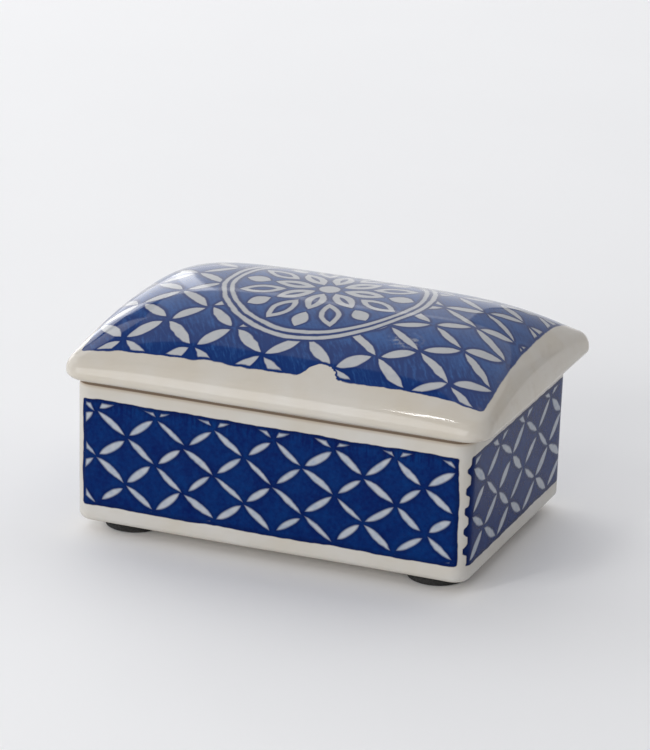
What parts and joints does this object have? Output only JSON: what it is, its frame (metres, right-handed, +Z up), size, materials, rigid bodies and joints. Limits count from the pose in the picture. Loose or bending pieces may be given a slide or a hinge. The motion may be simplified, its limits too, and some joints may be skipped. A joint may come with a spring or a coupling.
{
  "type": "trinket box",
  "caption": "Oblong painted porcelain trinket box with a domed lift-off lid and stick-on foot pads.",
  "frame": {"origin": "middle of the whole box's footprint, lid included, on the surface that the foot pads stand on", "axes": "+X along the long side, -Y towards the front face, +Z up"},
  "size_m": [0.1358, 0.0974, 0.0734],
  "materials": {
    "painted_glaze": "glossy clear glaze over cobalt blue painting on white porcelain",
    "foam_rubber": "matt black foam rubber"
  },
  "bodies": {
    "box": {"box_base": "painted_glaze", "foot_pad_front_left": "foam_rubber", "foot_pad_front_right": "foam_rubber", "foot_pad_back_left": "foam_rubber", "foot_pad_back_right": "foam_rubber"},
    "lid": {"lid": "painted_glaze"}
  },
  "joints": [
    {"name": "lid_lift", "type": "slide", "parent": "box", "child": "lid", "axis": [0, 0, 1], "range_m": [0, 0.06]}
  ]
}
